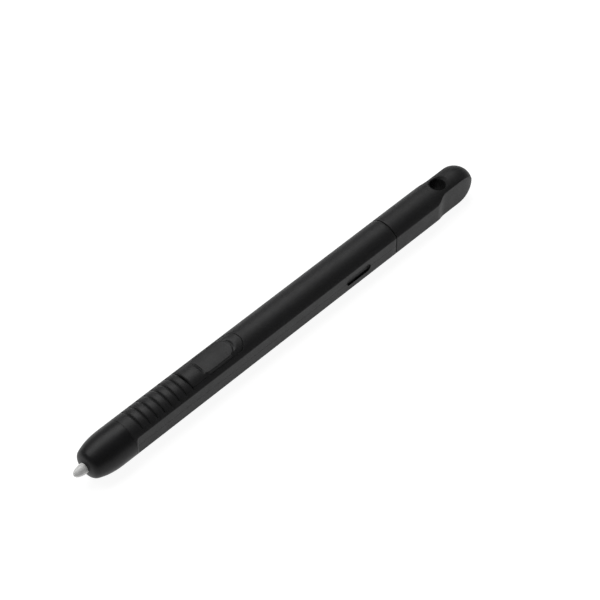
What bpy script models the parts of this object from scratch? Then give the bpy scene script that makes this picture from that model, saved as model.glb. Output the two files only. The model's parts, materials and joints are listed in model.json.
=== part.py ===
"""Digitizer pen for a rugged tablet, as an assembly of separate pieces.

X runs along the pen with the nib at -X, Y runs across its two side flats, and Z points up
through the side button. The pen stands button up on the narrow land under its barrel, which
is at z = 0. Lengths are in metres, and each piece is drawn about the pen's axis, which its
parent empty lifts to LAND_Z.
"""

import math

import bmesh
import bpy
from mathutils import Matrix, Vector

MM = 0.001

# Outer form
LENGTH = 128.3 * MM
BARREL_R = 4.75 * MM
FLAT_Y = 4.0 * MM
LAND_Z = 4.35 * MM
NIB_REACH = 3.05 * MM
NOSE_LENGTH = 11.25 * MM
CAP_LENGTH = 29.7 * MM
FLAT_RUN = 1.15 * MM
NOSE_SEAM = 0.12 * MM
CAP_SEAM = 0.25 * MM
PARTING = 0.10 * MM
FIT = 0.10 * MM

# Nose profile: a blunt face, a shoulder, then a taper up to the barrel
SHOULDER_DEPTH = 1.0 * MM
SHOULDER_R = 3.52 * MM
TAPER_LENGTH = 6.9 * MM
TAPER_POWER = 2.4

# Cavity of the barrel
CAVITY_R = 3.75 * MM
CAVITY_Y = 2.95 * MM
CAVITY_LAND = 3.5 * MM
MOUTH_Y = 3.35 * MM
MOUTH_LAND = 3.7 * MM
MOUTH_LENGTH = 2.6 * MM
MOUTH_STEP = 0.3 * MM
SOCKET_R = 3.05 * MM
SOCKET_LENGTH = 8.0 * MM
SOCKET_TAPER = 0.8 * MM

# Grip grooves
GROOVE_COUNT = 8
GROOVE_PITCH = 2.2 * MM
GROOVE_SETBACK = 1.92 * MM
GROOVE_DEPTH = 0.35 * MM
GROOVE_HALF_MOUTH = 0.42 * MM
GROOVE_HALF_FLOOR = 0.15 * MM
GROOVE_FULL_ANGLE = math.radians(48)

# Side button, measured back from the middle of the last groove
BUTTON_SETBACK = 0.10 * MM
BUTTON_LENGTH = 16.95 * MM
BUTTON_HALF_WIDTH = 3.0 * MM
BUTTON_FRONT_CORNER = 0.5 * MM
BUTTON_REAR_CORNER = 2.2 * MM
BUTTON_GAP = 0.15 * MM
BUTTON_FLOOR = 2.6 * MM
BUTTON_TRAVEL = 0.35 * MM
BUTTON_CLEARANCE = 0.15 * MM
POCKET_FLOOR = BUTTON_FLOOR - BUTTON_TRAVEL - BUTTON_CLEARANCE
PAD_SETBACK = 4.6 * MM
PAD_LENGTH = 9.6 * MM
PAD_HALF_WIDTH = 2.75 * MM
PAD_FRONT_CORNER = 0.6 * MM
PAD_TOP = 4.5 * MM
MOAT_WIDTH = 0.25 * MM
MOAT_DEPTH = 0.12 * MM
PLATE_THICKNESS = 0.2 * MM
PLATE_SETBACK = 2.2 * MM
PLATE_FROM_END = 1.6 * MM
PLATE_HALF_WIDTH = 2.6 * MM
PLATE_FRONT_CORNER = 0.5 * MM
PLATE_REAR_CORNER = 1.2 * MM
FOOT_TIP_R = 1.0 * MM
FOOT_ROOT_R = 1.15 * MM
FOOT_Z = 2.05 * MM

# Latch slots in the side flats
SLOT_FROM_CAP = 12.95 * MM
SLOT_LENGTH = 8.1 * MM
SLOT_HEIGHT = 2.1 * MM
SLOT_DEPTH = 0.5 * MM

# End cap
PADDLE_Y = 3.0 * MM
PADDLE_LENGTH = 11.9 * MM
RAMP_LENGTH = 2.4 * MM
END_ROUND = 6.0 * MM
END_SWING = math.radians(86)
END_STATIONS = 7
END_FLAT_SHARE = 0.6
TETHER_FROM_END = 10.75 * MM
TETHER_R = 1.9 * MM
TETHER_CHAMFER = 0.35 * MM
SPIGOT_R = 2.8 * MM
SPIGOT_LENGTH = 7.4 * MM
SPIGOT_LEAD_IN = 0.3 * MM
RING_FROM_CAP = 3.6 * MM
RING_R = 0.28 * MM
RING_PROUD = 0.18 * MM

# Nib and pressure cell
NIB_HEAD_R = 1.3 * MM
NIB_HEAD_LENGTH = 4.05 * MM
NIB_BLUNTNESS = 2.3
NIB_SHAFT_R = 0.7 * MM
NIB_LENGTH = 23.2 * MM
NIB_BEVEL = 0.2 * MM
NIB_TRAVEL = 0.4 * MM
HEAD_BORE_R = 1.5 * MM
HEAD_BORE_LENGTH = 1.6 * MM
SHAFT_BORE_R = 0.95 * MM
WEB_LENGTH = 1.0 * MM
NOSE_CAVITY_R = 2.75 * MM
SLEEVE_R = 3.6 * MM
SLEEVE_Y = 3.2 * MM
SLEEVE_LENGTH = 1.9 * MM
WASHER_BORE_R = 1.05 * MM
WASHER_R = 2.6 * MM
WASHER_SPACE = 0.8 * MM
CORE_LENGTH = 10.0 * MM
CORE_R = 1.8 * MM
WINDING_R = 2.35 * MM
TAPE_R = 2.6 * MM
WINDING_INSET = 0.9 * MM
TAPE_INSET = 1.6 * MM
WRAP_GAP = 0.05 * MM
LEAD_R = 0.09 * MM
CELL_R = 2.6 * MM
CELL_LENGTH = 10.0 * MM
CELL_SETBACK = 0.5 * MM
CELL_BORE_R = 2.05 * MM
CELL_WALL = 0.8 * MM
HOLDER_SETBACK = 1.0 * MM
HOLDER_R = 1.75 * MM
HOLDER_BACK = 1.3 * MM
GRIP_GAP = 0.04 * MM
CELL_RUBBER_R = 1.6 * MM
CELL_RUBBER_THICKNESS = 0.5 * MM
STACK_R = 1.95 * MM
STACK_GAP = 0.1 * MM
DIELECTRIC_THICKNESS = 0.4 * MM
CONTACT_R = 1.9 * MM
CONTACT_THICKNESS = 0.15 * MM
PLUG_FLANGE = 0.7 * MM
TERMINAL_Y = 1.2 * MM
TERMINAL_WIDTH = 0.7 * MM
TERMINAL_RISE = 0.25 * MM
TERMINAL_LAP = 1.3 * MM

# Board
BOARD_TOP = 0.2 * MM
BOARD_THICKNESS = 0.7 * MM
BOARD_LENGTH = 52.0 * MM
BOARD_SETBACK = 1.6 * MM
BOARD_WIDTH = 5.2 * MM
SWITCH_LENGTH = 3.6 * MM
SWITCH_WIDTH = 3.0 * MM
SWITCH_HEIGHT = 1.2 * MM
SWITCH_FLOOR = 0.25 * MM
PLUNGER_R = 0.75 * MM
PLUNGER_LENGTH = 0.95 * MM
TRIMMER_FROM_SWITCH = 9.0 * MM
TRIMMER_LENGTH = 3.2 * MM
TRIMMER_WIDTH = 2.6 * MM
TRIMMER_HEIGHT = 0.9 * MM
ROTOR_R = 1.0 * MM
ROTOR_HEIGHT = 0.3 * MM
BLADE_LENGTH = 1.4 * MM
BLADE_WIDTH = 0.24 * MM
CHIP_COUNT = 4
CHIP_FROM_TRIMMER = 3.4 * MM
CHIP_PITCH = 2.4 * MM
CHIP_LENGTH = 1.6 * MM
CHIP_WIDTH = 0.8 * MM
FOAM_FROM_END = 5.5 * MM
FOAM_LENGTH = 7.0 * MM
FOAM_WIDTH = 4.0 * MM
FOAM_TOP = 2.9 * MM
TRAY_HALF_WIDTH = 2.75 * MM
TRAY_FLOOR = -2.5 * MM
TRAY_WALL = 0.6 * MM
TRAY_CORNER = 0.5 * MM
TRAY_LEAD = 0.4 * MM
TRAY_TAIL = 3.0 * MM

NIB_TIP_X = -LENGTH / 2
NOSE_X = NIB_TIP_X + NIB_REACH
BARREL_X = NOSE_X + NOSE_LENGTH
FLAT_X = BARREL_X + FLAT_RUN
TAIL_X = LENGTH / 2
CAP_X = TAIL_X - CAP_LENGTH
GROOVE_X = FLAT_X + GROOVE_SETBACK
BUTTON_X = GROOVE_X + (GROOVE_COUNT - 1) * GROOVE_PITCH + BUTTON_SETBACK
BUTTON_END_X = BUTTON_X + BUTTON_LENGTH
PAD_X = BUTTON_X + PAD_SETBACK
CAVITY_X = NOSE_X + HEAD_BORE_LENGTH + WEB_LENGTH
CORE_X = CAVITY_X + WASHER_SPACE
CELL_X = CORE_X + CORE_LENGTH + CELL_SETBACK
BOARD_X = CELL_X + CELL_LENGTH + BOARD_SETBACK
BOARD_END_X = BOARD_X + BOARD_LENGTH
SWITCH_X = PAD_X + PAD_LENGTH / 2

RAY_STEP = math.radians(12)
WELD = 0.00005 * MM
TIDY_WELD = 0.001 * MM
SLIVER = 0.0001 * MM
TURN_STEPS = 20

BLACK_PLASTIC = ((0.022, 0.022, 0.023), 0.55, 0.0)
GLOSSY_PLASTIC = ((0.016, 0.016, 0.017), 0.38, 0.0)
NIB_PLASTIC = ((0.42, 0.42, 0.42), 0.45, 0.0)
DARK_RUBBER = ((0.03, 0.03, 0.03), 0.85, 0.0)
IVORY_PLASTIC = ((0.62, 0.60, 0.54), 0.5, 0.0)
FERRITE = ((0.05, 0.048, 0.05), 0.6, 0.2)
COPPER = ((0.72, 0.36, 0.16), 0.3, 0.9)
AMBER_TAPE = ((0.55, 0.27, 0.04), 0.35, 0.0)
BOARD_GREEN = ((0.02, 0.14, 0.06), 0.45, 0.0)
TIN = ((0.66, 0.66, 0.64), 0.3, 1.0)
CERAMIC = ((0.55, 0.40, 0.26), 0.5, 0.0)
WHITE_CERAMIC = ((0.8, 0.8, 0.78), 0.4, 0.0)
GREY_FOAM = ((0.12, 0.12, 0.12), 0.95, 0.0)


def clear_scene():
    for old in list(bpy.data.objects):
        bpy.data.objects.remove(old, do_unlink=True)


def make_material(name, look):
    colour, roughness, metallic = look
    material = bpy.data.materials.new(name)
    material.use_nodes = True
    shader = material.node_tree.nodes["Principled BSDF"]
    shader.inputs["Base Color"].default_value = (*colour, 1.0)
    shader.inputs["Roughness"].default_value = roughness
    shader.inputs["Metallic"].default_value = metallic
    material.diffuse_color = (*colour, 1.0)
    return material


def add_piece(name, form, look, parent):
    """An object from a bmesh, with its faces outward, shaded smooth between sharp edges."""
    bmesh.ops.remove_doubles(form, verts=form.verts, dist=WELD)
    bmesh.ops.recalc_face_normals(form, faces=form.faces)
    mesh = bpy.data.meshes.new(name)
    form.to_mesh(mesh)
    form.free()
    mesh.shade_smooth()
    mesh.set_sharp_from_angle(angle=math.radians(30))
    piece = bpy.data.objects.new(name, mesh)
    bpy.context.scene.collection.objects.link(piece)
    piece.parent = parent
    mesh.materials.append(make_material(name, look))
    return piece


def cut(piece, name, form, parent):
    """Takes the cutter's shape out of the piece."""
    cutter = add_piece(name, form, BLACK_PLASTIC, parent)
    cutter.hide_render = True
    cutter.display_type = "WIRE"
    modifier = piece.modifiers.new(name, "BOOLEAN")
    modifier.operation = "DIFFERENCE"
    modifier.object = cutter


def clipped(angle, radius, flat=None, land=None):
    """Distance along one ray to a circle cut by two side flats and by the land below."""
    reach = radius
    across = abs(math.cos(angle))
    down = -math.sin(angle)
    if flat is not None and across > 1e-6:
        reach = min(reach, flat / across)
    if land is not None and down > 1e-6:
        reach = min(reach, land / down)
    return reach


def rays(first=0.0, last=2 * math.pi):
    """Angles round the section from +Y over +Z, with one on every edge of its flats."""
    barrel = math.acos(FLAT_Y / BARREL_R)
    paddle = math.acos(PADDLE_Y / BARREL_R)
    cavity = math.acos(CAVITY_Y / CAVITY_R)
    land = math.asin(LAND_Z / BARREL_R)
    quarter = math.pi / 2
    upper = [0, barrel, cavity, paddle, quarter]
    upper += [math.pi - angle for angle in (paddle, cavity, barrel)]
    lower = [math.pi, math.pi + barrel, math.pi + cavity, math.pi + paddle, math.pi + land]
    lower += [3 * quarter] + [2 * math.pi - angle for angle in (land, paddle, cavity, barrel, 0)]
    corners = [angle for angle in upper + lower if first <= angle <= last]
    angles = []
    for low, high in zip(corners, corners[1:]):
        steps = max(1, round((high - low) / RAY_STEP))
        angles += [low + (high - low) * i / steps for i in range(steps)]
    return angles + [last]


def stitch(form, rows, closed_rows, closed_loop):
    """Quads between neighbouring rows of vertices."""
    count = len(rows)
    for i in range(count if closed_loop else count - 1):
        here, there = rows[i], rows[(i + 1) % count]
        width = len(here)
        for j in range(width if closed_rows else width - 1):
            k = (j + 1) % width
            form.faces.new((here[j], here[k], there[k], there[j]))


def shell(profile, angles, whole):
    """A hollow form: a closed profile of (x, reach) swept round the axis.

    Each reach is a function of the ray's angle. A part sweep is closed by its end faces,
    which stand back from the parting plane by half the parting gap.
    """
    form = bmesh.new()
    rows = []
    for angle in angles[:-1] if whole else angles:
        row = []
        for x, reach in profile:
            radius = reach(angle)
            point = Vector((x, radius * math.cos(angle), radius * math.sin(angle)))
            if not whole and abs(point.z) < PARTING / 2:
                point.z = math.copysign(PARTING / 2, math.sin(angles[len(angles) // 2]))
            row.append(form.verts.new(point))
        rows.append(row)
    stitch(form, rows, True, whole)
    if not whole:
        form.faces.new(rows[0])
        form.faces.new(rows[-1])
    return form


def solid(stations, angles):
    """A closed form lofted through cross-sections, each an x and a reach."""
    form = bmesh.new()
    rows = []
    for x, reach in stations:
        radii = [(angle, reach(angle)) for angle in angles[:-1]]
        rows.append([form.verts.new((x, r * math.cos(a), r * math.sin(a))) for a, r in radii])
    stitch(form, rows, True, False)
    form.faces.new(rows[0])
    form.faces.new(rows[-1])
    return form


def reach_of(radius, flat=None, land=None):
    return lambda angle: clipped(angle, radius, flat, land)


def turned(outline, steps=TURN_STEPS, axis="X", centre=(0, 0, 0)):
    """A form turned about a line parallel to an axis, from (distance along, radius) points."""
    form = bmesh.new()
    points = [form.verts.new((along, 0, radius)) for along, radius in outline]
    edges = [form.edges.new(pair) for pair in zip(points, points[1:] + points[:1])]
    bmesh.ops.spin(
        form,
        geom=points + edges,
        axis=(1, 0, 0),
        cent=(0, 0, 0),
        angle=2 * math.pi,
        steps=steps,
        use_merge=True,
    )
    if axis == "Z":
        bmesh.ops.rotate(form, verts=form.verts, matrix=Matrix.Rotation(-math.pi / 2, 3, "Y"))
    bmesh.ops.translate(form, verts=form.verts, vec=centre)
    bmesh.ops.remove_doubles(form, verts=form.verts, dist=TIDY_WELD)
    bmesh.ops.dissolve_degenerate(form, edges=form.edges, dist=SLIVER)
    return form


def tube(start, end, inner, outer, steps=TURN_STEPS):
    return turned([(start, inner), (start, outer), (end, outer), (end, inner)], steps)


def disc(start, end, radius, steps=TURN_STEPS):
    return turned([(start, 0), (start, radius), (end, radius), (end, 0)], steps)


def box(low, high):
    form = bmesh.new()
    size = Vector(high) - Vector(low)
    middle = (Vector(high) + Vector(low)) / 2
    place = Matrix.Translation(middle) @ Matrix.Diagonal((*size, 1))
    bmesh.ops.create_cube(form, size=1.0, matrix=place)
    return form


def prism(outline, low, high, normal="Z"):
    """An outline of (a, b) points pushed out along Z, along Y or along X."""
    place = {
        "Z": lambda a, b, c: (a, b, c),
        "Y": lambda a, b, c: (a, c, b),
        "X": lambda a, b, c: (c, a, b),
    }[normal]
    form = bmesh.new()
    rows = [[form.verts.new(place(a, b, c)) for a, b in outline] for c in (low, high)]
    stitch(form, rows, True, False)
    form.faces.new(rows[0])
    form.faces.new(rows[1])
    return form


def rounded_outline(start, end, half_width, start_corner, end_corner, steps=5):
    """A rectangle from start to end, symmetric about its middle line, with round corners."""
    corners = [
        (end - end_corner, half_width - end_corner, end_corner, 90, 0),
        (end - end_corner, end_corner - half_width, end_corner, 0, -90),
        (start + start_corner, start_corner - half_width, start_corner, -90, -180),
        (start + start_corner, half_width - start_corner, start_corner, 180, 90),
    ]
    points = []
    for a, b, radius, first, last in corners:
        for i in range(steps + 1):
            angle = math.radians(first + (last - first) * i / steps)
            points.append((a + radius * math.cos(angle), b + radius * math.sin(angle)))
    return points


def wire(name, route, radius, look, parent):
    """A thin round wire through the route's points."""
    curve = bpy.data.curves.new(name, "CURVE")
    curve.dimensions = "3D"
    curve.bevel_depth = radius
    curve.bevel_resolution = 1
    curve.use_fill_caps = True
    line = curve.splines.new("POLY")
    line.points.add(len(route) - 1)
    for point, place in zip(line.points, route):
        point.co = (*place, 1)
    piece = bpy.data.objects.new(name, curve)
    bpy.context.scene.collection.objects.link(piece)
    piece.parent = parent
    curve.materials.append(make_material(name, look))
    return piece


def groove_depth(angle):
    """Full depth over the top of the grip, running out before the edges of the side flats."""
    edge = math.acos(FLAT_Y / BARREL_R)
    side = min(angle, math.pi - angle)
    share = (side - edge) / (GROOVE_FULL_ANGLE - edge)
    return GROOVE_DEPTH * min(1.0, max(0.0, share))


def groove_floor(angle):
    return clipped(angle, BARREL_R, FLAT_Y, LAND_Z) - groove_depth(angle)


def cavity_profile(front, rear):
    """The barrel's inside from its rear face to its front face."""
    socket_x = CAP_X - SOCKET_LENGTH
    mouth_x = BARREL_X + MOUTH_LENGTH
    socket = reach_of(SOCKET_R)
    cavity = reach_of(CAVITY_R, CAVITY_Y, CAVITY_LAND)
    mouth = reach_of(CAVITY_R, MOUTH_Y, MOUTH_LAND)
    return [
        (rear, socket),
        (socket_x, socket),
        (socket_x - SOCKET_TAPER, cavity),
        (mouth_x + MOUTH_STEP, cavity),
        (mouth_x, mouth),
        (front, mouth),
    ]


def make_housings(parent):
    outside = reach_of(BARREL_R, FLAT_Y, LAND_Z)
    front = BARREL_X + NOSE_SEAM / 2
    rear = CAP_X - CAP_SEAM / 2
    run_out = [(front, reach_of(BARREL_R, None, LAND_Z)), (FLAT_X, outside)]
    grooved = list(run_out)
    for i in range(GROOVE_COUNT):
        middle = GROOVE_X + i * GROOVE_PITCH
        grooved += [
            (middle - GROOVE_HALF_MOUTH, outside),
            (middle - GROOVE_HALF_FLOOR, groove_floor),
            (middle + GROOVE_HALF_FLOOR, groove_floor),
            (middle + GROOVE_HALF_MOUTH, outside),
        ]
    grooved.append((rear, outside))
    inside = cavity_profile(front, rear)
    upper = add_piece(
        "upper_housing",
        shell(grooved + inside, rays(0, math.pi), False),
        BLACK_PLASTIC,
        parent,
    )
    lower = add_piece(
        "lower_housing",
        shell(run_out + [(rear, outside)] + inside, rays(math.pi, 2 * math.pi), False),
        BLACK_PLASTIC,
        parent,
    )
    pocket = rounded_outline(
        BUTTON_X - BUTTON_GAP,
        BUTTON_END_X + BUTTON_GAP,
        BUTTON_HALF_WIDTH + BUTTON_GAP,
        BUTTON_FRONT_CORNER + BUTTON_GAP,
        BUTTON_REAR_CORNER + BUTTON_GAP,
    )
    cut(upper, "button_pocket", prism(pocket, POCKET_FLOOR, BARREL_R + MM), parent)
    slot_x = CAP_X - SLOT_FROM_CAP
    slot = rounded_outline(
        slot_x - SLOT_LENGTH / 2,
        slot_x + SLOT_LENGTH / 2,
        SLOT_HEIGHT / 2,
        SLOT_HEIGHT / 2,
        SLOT_HEIGHT / 2,
    )
    for side, label in ((1, "left"), (-1, "right")):
        deep = side * (FLAT_Y - SLOT_DEPTH)
        clear = side * (FLAT_Y + MM)
        for housing in (upper, lower):
            form = prism(slot, min(deep, clear), max(deep, clear), "Y")
            cut(housing, f"{housing.name}_{label}_slot", form, parent)


def nose_outline():
    """(distance behind the nose's front, radius) points up its face and along its taper."""
    points = [(0.0, HEAD_BORE_R), (0.8 * SHOULDER_DEPTH, 0.9 * SHOULDER_R)]
    steps = 6
    for i in range(steps + 1):
        left = (1 - i / steps) ** TAPER_POWER
        radius = BARREL_R - (BARREL_R - SHOULDER_R) * left
        points.append((SHOULDER_DEPTH + TAPER_LENGTH * i / steps, radius))
    return points


def make_nose(parent):
    """Round nose cone, with a thin sleeve that plugs into the barrel's mouth."""
    rim_x = BARREL_X - NOSE_SEAM / 2
    sleeve = reach_of(SLEEVE_R, SLEEVE_Y, CAVITY_LAND)
    profile = [(NOSE_X + along, reach_of(radius, None, LAND_Z)) for along, radius in nose_outline()]
    profile += [
        (rim_x, reach_of(BARREL_R, None, LAND_Z)),
        (rim_x, sleeve),
        (BARREL_X + SLEEVE_LENGTH, sleeve),
        (BARREL_X + SLEEVE_LENGTH, reach_of(NOSE_CAVITY_R)),
        (CAVITY_X, reach_of(NOSE_CAVITY_R)),
        (CAVITY_X, reach_of(SHAFT_BORE_R)),
        (CAVITY_X - WEB_LENGTH, reach_of(SHAFT_BORE_R)),
        (CAVITY_X - WEB_LENGTH, reach_of(HEAD_BORE_R)),
    ]
    add_piece("nose_cone", shell(profile, rays(), True), GLOSSY_PLASTIC, parent)


def make_end_cap(parent):
    """End cap: its spigot with a ring groove, the flatted body, the ramp and the round paddle."""
    body = reach_of(BARREL_R, FLAT_Y, LAND_Z)
    ring_x = CAP_X - RING_FROM_CAP
    ring_half = RING_R + FIT
    ring_floor = reach_of(SPIGOT_R - 2 * RING_R + FIT)
    spigot = reach_of(SPIGOT_R)
    paddle_x = TAIL_X - PADDLE_LENGTH
    stations = [
        (CAP_X - SPIGOT_LENGTH, reach_of(SPIGOT_R - SPIGOT_LEAD_IN)),
        (CAP_X - SPIGOT_LENGTH + SPIGOT_LEAD_IN, spigot),
        (ring_x - ring_half, spigot),
        (ring_x - ring_half, ring_floor),
        (ring_x + ring_half, ring_floor),
        (ring_x + ring_half, spigot),
        (CAP_X + CAP_SEAM / 2, spigot),
        (CAP_X + CAP_SEAM / 2, body),
        (paddle_x - RAMP_LENGTH, body),
        (paddle_x, reach_of(BARREL_R, PADDLE_Y, LAND_Z)),
    ]
    for i in range(END_STATIONS):
        swing = END_SWING * i / (END_STATIONS - 1)
        shrink = math.cos(swing)
        x = TAIL_X - END_ROUND * (1 - math.sin(swing) / math.sin(END_SWING))
        flat = PADDLE_Y * (END_FLAT_SHARE + (1 - END_FLAT_SHARE) * shrink)
        stations.append((x, reach_of(BARREL_R * shrink, flat, LAND_Z * shrink)))
    cap = add_piece("end_cap", solid(stations, rays()), BLACK_PLASTIC, parent)
    flare = TETHER_R + TETHER_CHAMFER + MM
    hole = [
        (-LAND_Z - MM, 0),
        (-LAND_Z - MM, flare),
        (-LAND_Z + TETHER_CHAMFER, TETHER_R),
        (BARREL_R - TETHER_CHAMFER, TETHER_R),
        (BARREL_R + MM, flare),
        (BARREL_R + MM, 0),
    ]
    centre = (TAIL_X - TETHER_FROM_END, 0, 0)
    cut(cap, "tether_hole", turned(hole, 24, "Z", centre), parent)
    ring_middle = SPIGOT_R - RING_R + RING_PROUD
    ring = []
    for i in range(8):
        turn = 2 * math.pi * i / 8
        ring.append((ring_x + RING_R * math.cos(turn), ring_middle + RING_R * math.sin(turn)))
    add_piece("cap_seal_ring", turned(ring, 24), DARK_RUBBER, parent)


def make_button(parent):
    """Side button: a crowned cap with a flat thumb pad in a moat, and the rubber plate under it."""
    outline = rounded_outline(
        BUTTON_X, BUTTON_END_X, BUTTON_HALF_WIDTH, BUTTON_FRONT_CORNER, BUTTON_REAR_CORNER
    )
    top = BARREL_R + MM
    button = add_piece("side_button", prism(outline, BUTTON_FLOOR, top), BLACK_PLASTIC, parent)
    groove_end = BUTTON_X - BUTTON_SETBACK + GROOVE_HALF_MOUTH
    above = reach_of(BARREL_R + 3 * MM)
    over = [
        (BUTTON_X - MM, reach_of(BARREL_R - GROOVE_DEPTH)),
        (BUTTON_X - MM, above),
        (BUTTON_END_X + MM, above),
        (BUTTON_END_X + MM, reach_of(BARREL_R)),
        (groove_end, reach_of(BARREL_R)),
        (BUTTON_X, reach_of(BARREL_R - GROOVE_DEPTH)),
    ]
    cut(button, "button_crown", shell(over, rays(), True), parent)
    moat = pad_outline(MOAT_WIDTH)
    cut(button, "pad_moat", prism(moat, PAD_TOP - MOAT_DEPTH, top), parent)
    join(button, "thumb_pad", prism(pad_outline(0.0), PAD_TOP - MM, PAD_TOP), parent)

    plate = rounded_outline(
        BUTTON_X + PLATE_SETBACK,
        BUTTON_END_X - PLATE_FROM_END,
        PLATE_HALF_WIDTH,
        PLATE_FRONT_CORNER,
        PLATE_REAR_CORNER,
        3,
    )
    plate_top = BUTTON_FLOOR - FIT
    plate_low = plate_top - PLATE_THICKNESS
    pad = add_piece("button_rubber", prism(plate, plate_low, plate_top), DARK_RUBBER, parent)
    foot_top = plate_top - PLATE_THICKNESS / 4
    foot = [(FOOT_Z, 0), (FOOT_Z, FOOT_TIP_R), (foot_top, FOOT_ROOT_R), (foot_top, 0)]
    join(pad, "button_rubber_foot", turned(foot, 16, "Z", (SWITCH_X, 0, 0)), parent)


def pad_outline(grow):
    """The thumb pad seen from above, pushed out by grow; its rear end is a half circle."""
    half = PAD_HALF_WIDTH + grow
    front = PAD_FRONT_CORNER + grow
    return rounded_outline(PAD_X - grow, PAD_X + PAD_LENGTH + grow, half, front, half)


def join(piece, name, form, parent):
    """Adds the second form's shape to the piece."""
    other = add_piece(name, form, BLACK_PLASTIC, parent)
    other.hide_render = True
    other.display_type = "WIRE"
    modifier = piece.modifiers.new(name, "BOOLEAN")
    modifier.operation = "UNION"
    modifier.object = other


def make_nib(parent):
    """Replaceable nib: a blunt rounded tip on a head, and the shaft that the holder grips."""
    shoulder_x = NIB_TIP_X + NIB_HEAD_LENGTH
    end_x = NIB_TIP_X + NIB_LENGTH
    outline = []
    steps = 6
    for i in range(steps + 1):
        left = 1 - (i / steps) ** 2
        radius = NIB_HEAD_R * math.sqrt(1 - left**NIB_BLUNTNESS)
        outline.append((NIB_TIP_X + NIB_REACH * (1 - left), radius))
    outline += [
        (shoulder_x - NIB_BEVEL, NIB_HEAD_R),
        (shoulder_x, NIB_HEAD_R - NIB_BEVEL),
        (shoulder_x, NIB_SHAFT_R),
        (end_x - NIB_BEVEL, NIB_SHAFT_R),
        (end_x, NIB_SHAFT_R - NIB_BEVEL),
        (end_x, 0),
    ]
    add_piece("nib", turned(outline, 16), NIB_PLASTIC, parent)


def make_coil(parent):
    """Ferrite core, its winding and tape, and the rubber washer that cushions the core."""
    end = CORE_X + CORE_LENGTH
    washer = tube(CAVITY_X + FIT, CORE_X - FIT, WASHER_BORE_R, WASHER_R, 16)
    add_piece("core_washer", washer, DARK_RUBBER, parent)
    add_piece("ferrite_core", tube(CORE_X, end, SHAFT_BORE_R, CORE_R), FERRITE, parent)
    winding = tube(CORE_X + WINDING_INSET, end - WINDING_INSET, CORE_R + WRAP_GAP, WINDING_R)
    add_piece("antenna_coil", winding, COPPER, parent)
    tape = tube(CORE_X + TAPE_INSET, end - TAPE_INSET, WINDING_R + WRAP_GAP, TAPE_R)
    add_piece("coil_tape", tape, AMBER_TAPE, parent)


def make_pressure_cell(parent):
    """Cell that turns the nib's push into a signal: holder and rubber move, the rest stays."""
    rear = CELL_X + CELL_LENGTH
    body = turned(
        [
            (CELL_X, SHAFT_BORE_R),
            (CELL_X, CELL_R),
            (rear, CELL_R),
            (rear, CELL_BORE_R),
            (CELL_X + CELL_WALL, CELL_BORE_R),
            (CELL_X + CELL_WALL, SHAFT_BORE_R),
        ]
    )
    add_piece("pressure_cell_body", body, BLACK_PLASTIC, parent)
    holder_x = CELL_X + HOLDER_SETBACK
    grip_r = NIB_SHAFT_R + GRIP_GAP
    nib_end = NIB_TIP_X + NIB_LENGTH
    holder_end = nib_end + HOLDER_BACK
    holder = turned(
        [
            (holder_x, grip_r),
            (holder_x, HOLDER_R),
            (holder_end, HOLDER_R),
            (holder_end, 0),
            (nib_end + FIT, 0),
            (nib_end + FIT, grip_r),
        ]
    )
    add_piece("nib_holder", holder, IVORY_PLASTIC, parent)
    rubber_x = holder_end + FIT
    rubber_end = rubber_x + CELL_RUBBER_THICKNESS
    add_piece("pressure_rubber", disc(rubber_x, rubber_end, CELL_RUBBER_R), DARK_RUBBER, parent)
    plate_x = rubber_end + NIB_TRAVEL + FIT
    plate_end = plate_x + DIELECTRIC_THICKNESS
    add_piece("pressure_dielectric", disc(plate_x, plate_end, STACK_R), WHITE_CERAMIC, parent)
    contact_x = plate_end + STACK_GAP
    contact_end = contact_x + CONTACT_THICKNESS
    add_piece("pressure_contact", disc(contact_x, contact_end, CONTACT_R), TIN, parent)
    plug_x = contact_end + STACK_GAP
    plug = turned(
        [
            (plug_x, 0),
            (plug_x, STACK_R),
            (rear + FIT, STACK_R),
            (rear + FIT, CELL_R),
            (rear + PLUG_FLANGE, CELL_R),
            (rear + PLUG_FLANGE, 0),
        ]
    )
    add_piece("pressure_cell_plug", plug, BLACK_PLASTIC, parent)
    for side, label in ((1, "left"), (-1, "right")):
        middle = side * TERMINAL_Y
        low = (rear + PLUG_FLANGE + STACK_GAP, middle - TERMINAL_WIDTH / 2, BOARD_TOP + FIT)
        high = (BOARD_X + TERMINAL_LAP, middle + TERMINAL_WIDTH / 2, BOARD_TOP + TERMINAL_RISE)
        add_piece(f"pressure_terminal_{label}", box(low, high), TIN, parent)


def make_leads(parent):
    """The coil's two leads, over the pressure cell and down to the board."""
    start = CORE_X + CORE_LENGTH - 0.35 * MM
    end = BOARD_X + 2.6 * MM
    rear = CELL_X + CELL_LENGTH
    for side, label in ((1, "left"), (-1, "right")):
        route = [
            (start, side * 0.55 * MM, 1.98 * MM),
            (start + 0.25 * MM, side * 0.6 * MM, 2.35 * MM),
            (CELL_X + 0.3 * MM, side * 0.7 * MM, 2.85 * MM),
            (CELL_X + 1.3 * MM, side * 0.75 * MM, 2.95 * MM),
            (rear + 0.3 * MM, side * 0.75 * MM, 2.95 * MM),
            (rear + 1.4 * MM, side * 0.6 * MM, 2.1 * MM),
            (BOARD_X + 0.9 * MM, side * 0.35 * MM, 0.8 * MM),
            (end - 0.6 * MM, side * 0.35 * MM, 0.42 * MM),
            (end, side * 0.35 * MM, 0.42 * MM),
        ]
        wire(f"coil_lead_{label}", route, LEAD_R, COPPER, parent)


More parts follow.
